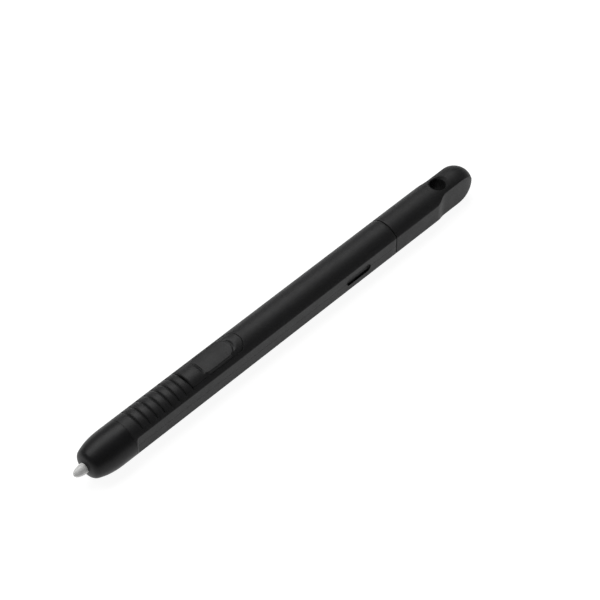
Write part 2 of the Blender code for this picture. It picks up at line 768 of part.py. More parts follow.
def make_board(parent):
    """Chassis tray, circuit board and the components on it."""
    low = BOARD_TOP - BOARD_THICKNESS
    wall_top = low - FIT
    outer = TRAY_HALF_WIDTH
    floor = TRAY_FLOOR
    thick = TRAY_WALL
    tray = [
        (-outer, wall_top),
        (-outer, floor + TRAY_CORNER),
        (-outer + TRAY_CORNER, floor),
        (outer - TRAY_CORNER, floor),
        (outer, floor + TRAY_CORNER),
        (outer, wall_top),
        (outer - thick, wall_top),
        (outer - thick, floor + thick),
        (thick - outer, floor + thick),
        (thick - outer, wall_top),
    ]
    tray_form = prism(tray, BOARD_X - TRAY_LEAD, BOARD_END_X + TRAY_TAIL, "X")
    add_piece("board_tray", tray_form, BLACK_PLASTIC, parent)
    half = BOARD_WIDTH / 2
    board = box((BOARD_X, -half, low), (BOARD_END_X, half, BOARD_TOP))
    add_piece("circuit_board", board, BOARD_GREEN, parent)

    seat = BOARD_TOP + FIT
    switch_top = seat + SWITCH_HEIGHT
    body = block(SWITCH_X, SWITCH_LENGTH, SWITCH_WIDTH, seat, switch_top)
    switch = add_piece("switch_body", body, IVORY_PLASTIC, parent)
    well = seat + SWITCH_FLOOR
    well_r = PLUNGER_R + FIT
    outline = [(well, 0), (well, well_r), (switch_top + MM, well_r), (switch_top + MM, 0)]
    cut(switch, "switch_well", turned(outline, 16, "Z", (SWITCH_X, 0, 0)), parent)
    head = FOOT_Z - FIT
    base = head - PLUNGER_LENGTH
    outline = [(base, 0), (base, PLUNGER_R), (head, PLUNGER_R), (head, 0)]
    plunger = turned(outline, 16, "Z", (SWITCH_X, 0, 0))
    add_piece("switch_plunger", plunger, BLACK_PLASTIC, parent)

    trim_x = SWITCH_X + TRIMMER_FROM_SWITCH
    trimmer_top = seat + TRIMMER_HEIGHT
    trimmer = block(trim_x, TRIMMER_LENGTH, TRIMMER_WIDTH, seat, trimmer_top)
    add_piece("trimmer_body", trimmer, WHITE_CERAMIC, parent)
    rotor_low = trimmer_top + STACK_GAP
    rotor_top = rotor_low + ROTOR_HEIGHT
    outline = [(rotor_low, 0), (rotor_low, ROTOR_R), (rotor_top, ROTOR_R), (rotor_top, 0)]
    rotor = turned(outline, 16, "Z", (trim_x, 0, 0))
    trim_rotor = add_piece("trimmer_rotor", rotor, TIN, parent)
    blade = block(trim_x, BLADE_LENGTH, BLADE_WIDTH, rotor_low + ROTOR_HEIGHT / 2, rotor_top + MM)
    cut(trim_rotor, "rotor_slot", blade, parent)
    for i in range(CHIP_COUNT):
        x = trim_x + CHIP_FROM_TRIMMER + i * CHIP_PITCH
        chip = block(x, CHIP_LENGTH, CHIP_WIDTH, seat, seat + CHIP_WIDTH)
        add_piece(f"chip_capacitor_{i + 1}", chip, CERAMIC, parent)
    foam = block(BOARD_END_X - FOAM_FROM_END, FOAM_LENGTH, FOAM_WIDTH, seat, FOAM_TOP)
    add_piece("board_foam", foam, GREY_FOAM, parent)


def block(x, length, width, low, high):
    """A box centred at x on the pen's axis, from low to high."""
    return box((x - length / 2, -width / 2, low), (x + length / 2, width / 2, high))


def make_pen():
    clear_scene()
    axis = bpy.data.objects.new("pen_axis", None)
    axis.location = (0, 0, LAND_Z)
    bpy.context.scene.collection.objects.link(axis)
    for build in (
        make_housings,
        make_nose,
        make_end_cap,
        make_button,
        make_nib,
        make_coil,
        make_pressure_cell,
        make_leads,
        make_board,
    ):
        build(axis)


make_pen()
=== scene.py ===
"""Looks of the digitizer pen: its outer shells in fine mesh, its materials, the floor, the light and
the camera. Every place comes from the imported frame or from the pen's driving dimensions, in metres."""

import json
import math

import bmesh
import bpy
import numpy as np
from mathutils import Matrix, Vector


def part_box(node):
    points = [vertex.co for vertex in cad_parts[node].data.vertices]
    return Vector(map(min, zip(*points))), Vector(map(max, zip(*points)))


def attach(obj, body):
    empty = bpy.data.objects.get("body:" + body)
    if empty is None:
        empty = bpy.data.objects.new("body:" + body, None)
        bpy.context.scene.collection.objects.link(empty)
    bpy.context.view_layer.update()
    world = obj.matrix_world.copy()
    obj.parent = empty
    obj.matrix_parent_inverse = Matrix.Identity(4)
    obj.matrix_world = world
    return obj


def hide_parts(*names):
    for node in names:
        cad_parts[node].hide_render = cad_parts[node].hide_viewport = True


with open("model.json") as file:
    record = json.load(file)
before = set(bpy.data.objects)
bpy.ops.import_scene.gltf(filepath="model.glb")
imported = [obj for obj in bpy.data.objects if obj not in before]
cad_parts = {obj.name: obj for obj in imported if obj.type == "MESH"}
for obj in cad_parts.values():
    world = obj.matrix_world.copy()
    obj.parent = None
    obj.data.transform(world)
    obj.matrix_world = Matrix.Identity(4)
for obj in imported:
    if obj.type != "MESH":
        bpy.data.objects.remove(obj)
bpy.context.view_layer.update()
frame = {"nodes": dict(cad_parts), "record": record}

MM = 0.001

# Dimensions of the outer form
BARREL_R = 4.75 * MM
FLAT_Y = 4.0 * MM
LAND_Z = 4.35 * MM
PADDLE_Y = 3.0 * MM
FLAT_EDGE = 0.07 * MM
SEAM_ROUND = 0.07 * MM
PARTING_GAP = 0.02 * MM
PARTING_ROUND = 0.02 * MM
WALL_R = 3.75 * MM
WALL_Y = 2.95 * MM
WALL_LAND = 3.5 * MM

HEAD_BORE_R = 1.4 * MM
HEAD_BORE_DEPTH = 1.6 * MM
HEAD_BORE_LIP = 0.08 * MM
HEAD_BORE_DRAFT = 0.02 * MM
SHAFT_BORE_R = 0.95 * MM
CORE_BORE_R = 2.75 * MM
CORE_BORE_FRONT = 2.6 * MM
FACE_DEPTH = 0.42 * MM
FACE_R = 2.911 * MM
FACE_ROUND = 2.0 * MM
SHOULDER_DEPTH = 1.0 * MM
SHOULDER_R = 3.55 * MM
SHOULDER_ROUND = 1.7 * MM
TAPER_LENGTH = 6.9 * MM
TAPER_POWER = 2.4
TAPER_STEPS = 40
TAPER_BEND = 4
TAPER_START = 10
TAPER_ROUND = 4.0 * MM
NOSE_SEAM = 0.03 * MM
NOSE_RIM_ROUND = 0.05 * MM
FLAT_RUN = 1.15 * MM
RUN_FILLET = 0.8 * MM
RUN_SLOPE = math.radians(42)

GROOVE_COUNT = 8
GROOVE_PITCH = 2.2 * MM
GROOVE_SETBACK = 1.92 * MM
GROOVE_DEPTH = 0.42 * MM
RIB_ROUNDNESS = 4.0
GROOVE_FULL_ANGLE = math.radians(44)
GROOVE_EDGE_ANGLE = math.radians(55)

BUTTON_GAP = 0.08 * MM
BUTTON_REAR_CORNER = 2.4 * MM
BUTTON_FRONT_CORNER = 0.5 * MM
BUTTON_RIM = 0.12 * MM
BUTTON_SPINE_INSET = 3.0 * MM
POCKET_FLOOR = 2.1 * MM
CUTTER_TOP = 1.5 * BARREL_R
PAD_SETBACK = 4.6 * MM
PAD_LENGTH = 9.6 * MM
PAD_HALF_WIDTH = 2.75 * MM
PAD_TOP = 4.5 * MM
PAD_ARCH = 14.0 * MM
PAD_EDGE = 0.16 * MM
PAD_CORNER = 0.8 * MM
MOAT_DEPTH = 0.3 * MM
MOAT_WIDTH = 0.5 * MM

SLOT_FROM_CAP = 12.95 * MM
SLOT_LENGTH = 8.1 * MM
SLOT_HEIGHT = 2.1 * MM
SLOT_DEPTH = 0.5 * MM

CAP_SEAM = 0.25 * MM
SPIGOT_R = 2.8 * MM
SPIGOT_LENGTH = 7.0 * MM
PADDLE_LENGTH = 11.9 * MM
RAMP_LENGTH = 2.4 * MM
RAMP_SOFTNESS = 0.4 * MM
END_ROUND = 6.0 * MM
END_FULLNESS = 2.2
END_FLAT_SHARE = 0.6
TETHER_FROM_END = 10.75 * MM
TETHER_R = 1.9 * MM
TETHER_CHAMFER = 0.35 * MM
TETHER_FILLET = 0.3 * MM
TETHER_CROWN = 0.35 * MM
TETHER_OVERSHOOT = 2.0 * MM

NIB_HEAD_R = 1.3 * MM
NIB_HEAD_LENGTH = 1.0 * MM
NIB_SHAFT_R = 0.7 * MM
NIB_EDGE = 0.15 * MM
NIB_BLUNTNESS = 2.3

# Rims of the cut openings: (depth below the face in mm, growth of the outline in mm)
SLOT_RIM = [(0.10, 0.0), (0.04, 0.02), (0.0, 0.08), (-0.6, 0.9)]
SLOT_FLOOR_ROUND = 0.12 * MM
POCKET_RIM = [(0.16, 0.0), (0.09, 0.0), (0.045, 0.015), (0.02, 0.035), (0.0, 0.08), (-0.4, 0.6)]

# Fineness of the meshes
WELD = 0.0002 * MM
TINY = 1e-6
SHARP_ANGLE = math.radians(32)
MOST_OF_SIDE = 0.49
CORNER_STEPS = 12
AROUND_STEP = math.radians(3)
BARREL_FINE_STEP = math.radians(0.5)
BARREL_FINE_REACH = 0.05
NOSE_FINE_STEP = math.radians(0.75)
NOSE_FINE_REACH = 0.07
CAP_ANGLES = 240
CAP_END_STEPS = 36
CAP_TIP_SHARE = 0.001
CAP_TIP_BLEND = 0.05
CAP_TIP_R = 0.002 * MM
RUN_STEP = 0.04 * MM
GROOVE_STEPS = 24
RAMP_STEP = 0.1 * MM
RAMP_MARGIN = 0.6 * MM
PADDLE_STEP = 0.5 * MM
LONG_STEP = 0.8 * MM
CAP_STEP = 1.0 * MM
PLAIN_STEP = 2.0 * MM
EDGE_TURNS = range(0, 91, 15)
OUTLINE_STEP = 0.14 * MM
TOP_RINGS = 40
RIM_RINGS = 10
RIM_START = 0.93
TETHER_STEPS = 96
NIB_STEPS = 48
NIB_TIP_STEPS = 24

# Materials: colours are linear, grain is the noise scale over the object
SHELL_LOOK = {
    "dark": (0.010, 0.010, 0.0105),
    "light": (0.016, 0.016, 0.0165),
    "smooth": 0.46,
    "rough": 0.54,
    "gloss": 0.25,
    "grain": 5200,
    "depth": 0.03 * MM,
}
NOSE_LOOK = {
    "dark": (0.008, 0.008, 0.0085),
    "light": (0.011, 0.011, 0.0115),
    "smooth": 0.38,
    "rough": 0.46,
    "gloss": 0.2,
    "grain": 2600,
    "depth": 0.008 * MM,
}
CAP_LOOK = {
    "dark": (0.010, 0.010, 0.0105),
    "light": (0.017, 0.017, 0.0175),
    "smooth": 0.48,
    "rough": 0.56,
    "gloss": 0.25,
    "grain": 5200,
    "depth": 0.03 * MM,
}
SHEEN_GRAIN = 260
SPECKLE_RANGE = (0.35, 0.65)
CLOUD_RANGE = (0.3, 0.7)
NIB_COLOUR = (0.64, 0.64, 0.63)
NIB_DARK = (0.60, 0.60, 0.59)
NIB_LIGHT = (0.68, 0.68, 0.67)
NIB_ROUGHNESS = 0.42
NIB_GRAIN = 900
NIB_BUMP = 0.01 * MM
NIB_GLOW = 0.4
NIB_GLOW_DEPTH = 0.6 * MM
INNER_LIGHTER = 1.25

# Inner pieces: roughness, metallic, grain and depth of the bump in mm, by slot of the record
INNER_LOOKS = {
    "seal_rubber": (0.75, 0.0, 1500, 0.02),
    "inner_plastic": (0.5, 0.0, 2500, 0.02),
    "ivory_plastic": (0.45, 0.0, 1800, 0.01),
    "ferrite": (0.6, 0.1, 4000, 0.02),
    "copper": (0.28, 0.9, 900, 0.01),
    "amber_tape": (0.3, 0.0, 700, 0.01),
    "board_green": (0.4, 0.0, 1200, 0.01),
    "tin": (0.32, 1.0, 1600, 0.01),
    "white_ceramic": (0.45, 0.0, 2200, 0.01),
    "tan_ceramic": (0.5, 0.0, 2600, 0.01),
    "grey_foam": (0.95, 0.0, 1400, 0.12),
}

# Stage: metres, watts and degrees
FLOOR_HALF = 3.0
FLOOR_DROP = 0.05 * MM
FLOOR_COLOUR = (0.2, 0.2, 0.2)
FLOOR_ROUGHNESS = 0.9
FLOOR_GLOW = 0.93
ROOM_GLOW = 0.04
TOP_LIGHT_PLACE = (0.02, 0.22, 0.45)
TOP_LIGHT_SIZE = (0.7, 0.36)
TOP_LIGHT_POWER = 3.0
NIB_LIGHT_PLACE = (-0.5, 0.1, 0.3)
NIB_LIGHT_SIZE = (0.3, 0.3)
NIB_LIGHT_POWER = 0.07
VIEW_AZIMUTH = math.radians(-45.98)
VIEW_ELEVATION = math.radians(47.93)
VIEW_DISTANCE = 475.4 * MM
VIEW_CENTRE_X = -4.14 * MM
VIEW_RIGHT = 6.85 * MM
VIEW_UP = 5.72 * MM
SENSOR_WIDTH = 36
LENS = 124.8
CLIP_START = 0.01
CLIP_END = 20

# Places read from the frame
nib_low, nib_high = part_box("nib")
AXIS_Z = (nib_low.z + nib_high.z) / 2
NOSE_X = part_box("nose_cone")[0].x
barrel_low, barrel_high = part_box("upper_housing")
SEAM_X = barrel_low.x
CAP_X = barrel_high.x
TAIL_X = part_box("end_cap")[1].x
button_low, button_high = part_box("side_button")
FLAT_X = SEAM_X + FLAT_RUN
GROOVE_X = FLAT_X + GROOVE_SETBACK
PAD_X = button_low.x + PAD_SETBACK


# ---------------------------------------------------------------- mesh helpers


def piece_from(name, points, faces):
    """A smooth-shaded object whose faces point outward."""
    mesh = bpy.data.meshes.new(name)
    mesh.from_pydata(points, [], faces)
    form = bmesh.new()
    form.from_mesh(mesh)
    bmesh.ops.remove_doubles(form, verts=form.verts, dist=WELD)
    bmesh.ops.recalc_face_normals(form, faces=form.faces)
    if form.calc_volume(signed=True) < 0:
        bmesh.ops.reverse_faces(form, faces=form.faces)
    form.to_mesh(mesh)
    form.free()
    mesh.shade_smooth()
    mesh.set_sharp_from_angle(angle=SHARP_ANGLE)
    piece = bpy.data.objects.new(name, mesh)
    bpy.context.scene.collection.objects.link(piece)
    return piece


def grid_faces(rows, columns, wrap_rows, wrap_columns):
    """Quads over a grid of points stored row by row."""
    faces = []
    for i in range(rows if wrap_rows else rows - 1):
        for j in range(columns if wrap_columns else columns - 1):
            k = (i + 1) % rows
            m = (j + 1) % columns
            faces.append((i * columns + j, i * columns + m, k * columns + m, k * columns + j))
    return faces


def polar_points(x, angles, reach):
    """Points at distance reach[i][j] from the pen's axis, for angle i and place x[j]."""
    y = reach * np.cos(angles)[:, None]
    z = reach * np.sin(angles)[:, None] + AXIS_Z
    return np.stack([np.broadcast_to(x, reach.shape), y, z], axis=-1)


def smooth_min(a, b, blend):
    """The smaller of a and b, with the corner between them rounded off."""
    near = np.clip((blend - np.abs(a - b)) / blend, 0, 1)
    return np.minimum(a, b) - near * near * blend / 4


def smooth_step(value, low, high):
    """From 0 at low to 1 at high, level at both ends."""
    share = np.clip((value - low) / (high - low), 0, 1)
    return share * share * (3 - 2 * share)


def section_reach(angles, radius, flat, land, blend):
    """Distance from the axis to a circle cut by two side flats and by the land underneath."""
    across = np.maximum(np.abs(np.cos(angles)), TINY)
    down = np.maximum(-np.sin(angles), TINY)
    reach = smooth_min(radius, flat / across, blend)
    return smooth_min(reach, land / down, blend)


def edge_drop(distance, radius):
    """How far a quarter-round edge has fallen away, at a distance in from the end face."""
    inside = np.clip(radius - distance, 0, radius)
    return radius - np.sqrt(radius * radius - inside * inside)


def spaced(low, high, step):
    """Places from low to high, about a step apart."""
    count = max(1, round((high - low) / step))
    return list(np.linspace(low, high, count + 1))


def edge_places(radius):
    """Distances from an end face that follow a rounded edge evenly."""
    return [radius * (1 - math.cos(math.radians(turn))) for turn in EDGE_TURNS]


def rounded_ends(low, high, radius, middle):
    """Places from low to high with extra ones over the rounded edge at each end."""
    near = edge_places(radius)
    clear = 1.02 * radius
    inner = [x for x in middle if low + clear < x < high - clear]
    return np.array([low + d for d in near] + inner + [high - d for d in reversed(near)])


def section_angles(first, last, step, corners, fine, reach):
    """Angles from first to last, with finer ones within reach of each corner of the section."""
    angles = []
    angle = first
    while angle < last - TINY:
        angles.append(angle)
        near = min(abs(angle - corner) for corner in corners)
        angle += fine if near < reach else min(step, max(fine, near - reach))
    return np.array(angles + [last])


def cut_away(piece, cutter):
    """Takes the cutter out of the piece for good."""
    modifier = piece.modifiers.new("cut", "BOOLEAN")
    modifier.operation = "DIFFERENCE"
    modifier.object = cutter
    modifier.solver = "MANIFOLD"
    graph = bpy.context.evaluated_depsgraph_get()
    mesh = bpy.data.meshes.new_from_object(piece.evaluated_get(graph))
    piece.modifiers.remove(modifier)
    piece.data = mesh
    mesh.shade_smooth()
    mesh.set_sharp_from_angle(angle=SHARP_ANGLE)
    bpy.data.objects.remove(cutter, do_unlink=True)


def turned(name, outline, centre, along, steps):
    """A closed form turned about a line through centre, from (distance along, radius) points."""
    angles = np.linspace(0, 2 * math.pi, steps, endpoint=False)
    points = []
    for angle in angles:
        for distance, radius in outline:
            a = radius * math.cos(angle)
            b = radius * math.sin(angle)
            if along == "X":
                points.append((distance, a + centre[0], b + centre[1]))
            else:
                points.append((a + centre[0], b + centre[1], distance))
    closed = outline[0][1] > 0
    faces = grid_faces(steps, len(outline), True, closed)
    return piece_from(name, points, faces)


def filleted(outline, steps=5):
    """An open outline of (a, b, radius) points with each corner turned into an arc of its radius."""
    points = []
    ends = (0, len(outline) - 1)
    for i, (a, b, radius) in enumerate(outline):
        here = Vector((a, b))
        if radius == 0 or i in ends:
            points.append((a, b))
            continue
        before = Vector(outline[i - 1][:2]) - here
        after = Vector(outline[i + 1][:2]) - here
        opening = before.angle(after)
        most = MOST_OF_SIDE * min(before.length, after.length)
        setback = min(radius / math.tan(opening / 2), most)
        size = setback * math.tan(opening / 2)
        start = here + before.normalized() * setback
        end = here + after.normalized() * setback
        halfway = (before.normalized() + after.normalized()).normalized()
        middle = here + halfway * size / math.sin(opening / 2)
        first = start - middle
        swing = first.angle_signed(end - middle)
        for j in range(steps + 1):
            turn = -swing * j / steps
            across = first.x * math.cos(turn) - first.y * math.sin(turn)
            up = first.x * math.sin(turn) + first.y * math.cos(turn)
            points.append(tuple(middle + Vector((across, up))))
    return points


def rounded_outline(start, end, half_width, start_corner, end_corner, grow):
    """A rectangle from start to end with round corners, pushed out by grow all round."""
    half = half_width + grow
    first, last = start_corner + grow, end_corner + grow
    low, high = start - grow, end + grow
    corners = [
        (high - last, half - last, last, 90),
        (high - last, last - half, last, 0),
        (low + first, first - half, first, -90),
        (low + first, half - first, first, 180),
    ]
    points = []
    for a, b, radius, swing in corners:
        for i in range(CORNER_STEPS + 1):
            angle = math.radians(swing - 90 * i / CORNER_STEPS)
            points.append((a + radius * math.cos(angle), b + radius * math.sin(angle)))
    return np.array(points)


def stack_of_rings(name, rings):
    """A closed form through rings of points, with a face over each end ring."""
    count = len(rings[0])
    points = [tuple(point) for ring in rings for point in ring]
    faces = grid_faces(len(rings), count, False, True)
    faces.append(tuple(range(count)))
    faces.append(tuple(range(len(points) - count, len(points))))
    return piece_from(name, points, faces)


# ---------------------------------------------------------------- outer shells


def rib_drop(x, angles):
    """Depth of the grip below the barrel: round ribs between narrow grooves, on the top only."""
    first = GROOVE_X
    last = GROOVE_X + (GROOVE_COUNT - 1) * GROOVE_PITCH
    phase = (x - first) / GROOVE_PITCH
    rib = np.abs(2 * (phase - np.floor(phase)) - 1) ** RIB_ROUNDNESS
    outside = np.maximum(first - x, x - last)
    run_out = np.clip(1 - outside / (0.5 * GROOVE_PITCH), 0, 1) ** RIB_ROUNDNESS
    depth = GROOVE_DEPTH * np.where(outside > 0, run_out, rib)
    lean = np.abs(angles - math.pi / 2)
    share = 1 - smooth_step(lean, GROOVE_FULL_ANGLE, GROOVE_EDGE_ANGLE)
    return share[:, None] * depth[None, :]


def barrel_flat(x):
    """Half width between the side flats, which run out to the full round just behind the nose."""
    bend = RUN_FILLET * math.sin(RUN_SLOPE)
    before = np.maximum(FLAT_X - x, 0)
    curve = RUN_FILLET - np.sqrt(RUN_FILLET**2 - np.minimum(before, bend) ** 2)
    return FLAT_Y + curve + np.maximum(before - bend, 0) * math.tan(RUN_SLOPE)


def barrel_half(name, lower):
    """One half of the barrel as a closed shell: outer face, seam edges, inner wall."""
    flat_angle = math.acos(FLAT_Y / BARREL_R)
    land_angle = math.asin(LAND_Z / BARREL_R)
    first = math.pi if lower else 0.0
    corners = [first, first + flat_angle, first + math.pi - flat_angle, first + math.pi]
    if lower:
        corners += [math.pi + land_angle, 2 * math.pi - land_angle]
    last = first + math.pi
    angles = section_angles(first, last, AROUND_STEP, corners, BARREL_FINE_STEP, BARREL_FINE_REACH)
    low, high = SEAM_X, CAP_X
    middle = spaced(low, FLAT_X, RUN_STEP)
    if lower:
        middle += spaced(FLAT_X, high, PLAIN_STEP)[1:]
    else:
        grip_end = GROOVE_X + (GROOVE_COUNT - 0.5) * GROOVE_PITCH
        middle += spaced(FLAT_X, grip_end, GROOVE_PITCH / GROOVE_STEPS)[1:]
        middle += spaced(grip_end, high, LONG_STEP)[1:]
    x = rounded_ends(low, high, NOSE_RIM_ROUND, middle)
    section = [section_reach(angles, BARREL_R, flat, LAND_Z, FLAT_EDGE) for flat in barrel_flat(x)]
    reach = np.stack(section, axis=1)
    reach = reach - edge_drop(x - low, NOSE_RIM_ROUND) - edge_drop(high - x, SEAM_ROUND)
    if not lower:
        reach = reach - rib_drop(x, angles)
    height = np.abs(reach * np.sin(angles)[:, None])
    reach = reach - edge_drop(height, PARTING_ROUND)
    wall = section_reach(angles, WALL_R, WALL_Y, WALL_LAND, FLAT_EDGE)[:, None]
    x = np.concatenate([x, x[::-1]])
    reach = np.concatenate([reach, np.broadcast_to(wall, reach.shape)], axis=1)
    points = polar_points(x, angles, reach)
    side = -1 if lower else 1
    rise = side * (points[..., 2] - AXIS_Z)
    points[..., 2] = AXIS_Z + side * np.maximum(rise, PARTING_GAP / 2)
    count = len(x)
    faces = grid_faces(len(angles), count, False, True)
    for row in (0, len(angles) - 1):
        for j in range(count // 2 - 1):
            here, there = row * count + j, (row + 1) * count - 1 - j
            faces.append((here, here + 1, there - 1, there))
    return piece_from(name, points.reshape(-1, 3).tolist(), faces)


def slot_cutter(side):
    """Round-ended slot cut into a side flat, with a softened rim."""
    centre = CAP_X - SLOT_FROM_CAP
    start, end = centre - SLOT_LENGTH / 2, centre + SLOT_LENGTH / 2
    half = SLOT_HEIGHT / 2
    floor = FLAT_Y - SLOT_DEPTH
    levels = [(floor, -SLOT_FLOOR_ROUND), (floor + SLOT_FLOOR_ROUND, 0.0)]
    levels += [(FLAT_Y - drop * MM, grow * MM) for drop, grow in SLOT_RIM]
    rings = []
    for y, grow in levels:
        outline = rounded_outline(start, end, half, half, half, grow)
        rings.append([(a, side * y, AXIS_Z + b) for a, b in outline])
    return stack_of_rings("slot_cutter", rings)


def crown(y, drop):
    """Height above the axis of the round top at y, lowered by drop."""
    return np.sqrt((BARREL_R - drop) ** 2 - y * y)


def pocket_cutter():
    """Opening for the side button, its rim softened where it meets the round top."""
    rings = [[(a, b, AXIS_Z + POCKET_FLOOR) for a, b in button_outline(BUTTON_GAP)]]
    for drop, grow in POCKET_RIM:
        outline = button_outline(BUTTON_GAP + grow * MM)
        heights = crown(outline[:, 1], drop * MM)
        rings.append([(a, b, AXIS_Z + c) for (a, b), c in zip(outline, heights)])
    rings.append([(a, b, AXIS_Z + CUTTER_TOP) for a, b in outline])
    return stack_of_rings("pocket_cutter", rings)


def button_outline(grow):
    """The button's outline seen from above, pushed out by grow."""
    return rounded_outline(
        button_low.x,
        button_high.x,
        button_high.y,
        BUTTON_FRONT_CORNER,
        BUTTON_REAR_CORNER,
        grow,
    )


def make_barrel():
    """Both halves of the barrel, with the slots and the button's pocket cut into them."""
    upper = barrel_half("upper_shell", False)
    lower = barrel_half("lower_shell", True)
    for side in (-1, 1):
        for half in (upper, lower):
            cut_away(half, slot_cutter(side))
    cut_away(upper, pocket_cutter())
    finish_piece(upper, "barrel", "upper_housing", shell_plastic())
    finish_piece(lower, "barrel", "lower_housing", shell_plastic())


def nose_outline():
    """(distance behind the nose's front, radius) points: face, shoulder, taper and rear rim."""
    length = SEAM_X - NOSE_SEAM - NOSE_X
    taper = []
    for share in np.linspace(0, 1, TAPER_STEPS):
        radius = BARREL_R - (BARREL_R - SHOULDER_R) * (1 - share) ** TAPER_POWER
        taper.append((SHOULDER_DEPTH + TAPER_LENGTH * share, radius))
    face = [(0.0, HEAD_BORE_R, 0.0), (FACE_DEPTH, FACE_R, FACE_ROUND)]
    face += [(*taper[0], SHOULDER_ROUND), (*taper[TAPER_BEND], TAPER_ROUND), (*taper[TAPER_START], 0.0)]
    outline = filleted(face, steps=10)[:-1] + taper[TAPER_START:]
    rim_x = length - NOSE_RIM_ROUND
    outline += [(along, BARREL_R) for along in spaced(outline[-1][0], rim_x, LONG_STEP)[1:]]
    for turn in EDGE_TURNS[1:]:
        swing = math.radians(turn)
        drop = NOSE_RIM_ROUND * (1 - math.cos(swing))
        outline.append((rim_x + NOSE_RIM_ROUND * math.sin(swing), BARREL_R - drop))
    return outline


def make_nose():
    """Round nose with the land under it, and the stepped hole for the nib."""
    length = SEAM_X - NOSE_SEAM - NOSE_X
    outline = nose_outline()
    bore = [
        (length, CORE_BORE_R),
        (CORE_BORE_FRONT, CORE_BORE_R),
        (CORE_BORE_FRONT, SHAFT_BORE_R),
        (HEAD_BORE_DEPTH, SHAFT_BORE_R),
        (HEAD_BORE_DEPTH, HEAD_BORE_R),
        (HEAD_BORE_LIP, HEAD_BORE_R - HEAD_BORE_DRAFT),
    ]
    corner = math.asin(LAND_Z / BARREL_R)
    corners = [math.pi + corner, 2 * math.pi - corner]
    angles = section_angles(0, 2 * math.pi, AROUND_STEP, corners, NOSE_FINE_STEP, NOSE_FINE_REACH)[:-1]
    no_flat = 1.0
    outer = [section_reach(angles, r, no_flat, LAND_Z, FLAT_EDGE) for _, r in outline]
    outer = np.stack(outer, axis=1)
    inner = np.array([r for _, r in bore])[None, :]
    reach = np.concatenate([outer, np.repeat(inner, len(angles), axis=0)], axis=1)
    x = NOSE_X + np.array([along for along, _ in outline + bore])
    points = polar_points(x, angles, reach).reshape(-1, 3).tolist()
    nose = piece_from("nose_shell", points, grid_faces(len(angles), len(x), True, True))
    finish_piece(nose, "barrel", "nose_cone", nose_plastic())


def cap_flat(x):
    """Half width between the cap's side flats: the barrel's, then down the ramp to the paddle's."""
    end = TAIL_X - PADDLE_LENGTH
    start = end - RAMP_LENGTH
    down = (x - start) / RAMP_LENGTH
    slope = FLAT_Y - (FLAT_Y - PADDLE_Y) * down
    upper = smooth_min(np.full_like(x, FLAT_Y), slope, RAMP_SOFTNESS)
    return -smooth_min(-upper, np.full_like(x, -PADDLE_Y), RAMP_SOFTNESS)


def end_round(x):
    """How much of its full section is left over the cap's round end."""
    past = np.clip((x - (TAIL_X - END_ROUND)) / END_ROUND, 0, 1)
    return np.sqrt(np.maximum(1 - past**END_FULLNESS, 0))


def make_cap():
    """End cap: ring seam, flatted body, ramp, paddle with the tether hole, and the round end."""
    low = CAP_X + CAP_SEAM
    start = TAIL_X - END_ROUND
    ramp_low = TAIL_X - PADDLE_LENGTH - RAMP_LENGTH - RAMP_MARGIN
    ramp_high = TAIL_X - PADDLE_LENGTH + RAMP_MARGIN
    near = [low + distance for distance in edge_places(SEAM_ROUND)]
    body = spaced(near[-1], ramp_low, CAP_STEP)[1:] + spaced(ramp_low, ramp_high, RAMP_STEP)[1:]
    paddle = spaced(ramp_high, start, PADDLE_STEP)[1:]
    swing = np.linspace(0, 1, CAP_END_STEPS)[1:-1] * math.pi / 2
    end = list(start + END_ROUND * np.sin(swing))
    x = np.array(near + body + paddle + end + [TAIL_X])
    angles = np.linspace(0, 2 * math.pi, CAP_ANGLES, endpoint=False)
    share = end_round(x)
    flat = cap_flat(x) * (END_FLAT_SHARE + (1 - END_FLAT_SHARE) * share)
    land = LAND_Z * np.maximum(share, CAP_TIP_SHARE)
    reach = [
        section_reach(angles, BARREL_R * s, f, d, FLAT_EDGE * max(s, CAP_TIP_BLEND))
        for s, f, d in zip(share, flat, land)
    ]
    reach = np.stack(reach, axis=1) - edge_drop(x - low, SEAM_ROUND)
    reach = np.maximum(reach, CAP_TIP_R)
    points = polar_points(x, angles, reach)
    spigot = [ring_at(CAP_X - SPIGOT_LENGTH, SPIGOT_R, angles), ring_at(low, SPIGOT_R, angles)]
    rings = spigot + [points[:, j] for j in range(len(x))]
    cap = stack_of_rings("cap_shell", rings)
    cut_away(cap, tether_cutter())
    finish_piece(cap, "barrel", "end_cap", cap_plastic())


def ring_at(x, radius, angles):
    """A circle about the pen's axis at x."""
    y = radius * np.cos(angles)
    z = radius * np.sin(angles) + AXIS_Z
    return np.stack([np.full_like(y, x), y, z], axis=-1)


def tether_cutter():
    """Round hole from top to bottom, flared at both mouths."""
    bottom = -LAND_Z
    top = BARREL_R - TETHER_CROWN
    mouth = TETHER_R + TETHER_CHAMFER + TETHER_OVERSHOOT
    outline = filleted(
        [
            (bottom - TETHER_OVERSHOOT, 0, 0),
            (bottom - TETHER_OVERSHOOT, mouth, 0),
            (bottom + TETHER_CHAMFER, TETHER_R, TETHER_FILLET),
            (top - TETHER_CHAMFER, TETHER_R, TETHER_FILLET),
            (top + TETHER_OVERSHOOT, mouth, 0),
            (top + TETHER_OVERSHOOT, 0, 0),
        ]
    )
    outline = [(along + AXIS_Z, radius) for along, radius in outline]
    return turned("tether_cutter", outline, (TAIL_X - TETHER_FROM_END, 0), "Z", TETHER_STEPS)


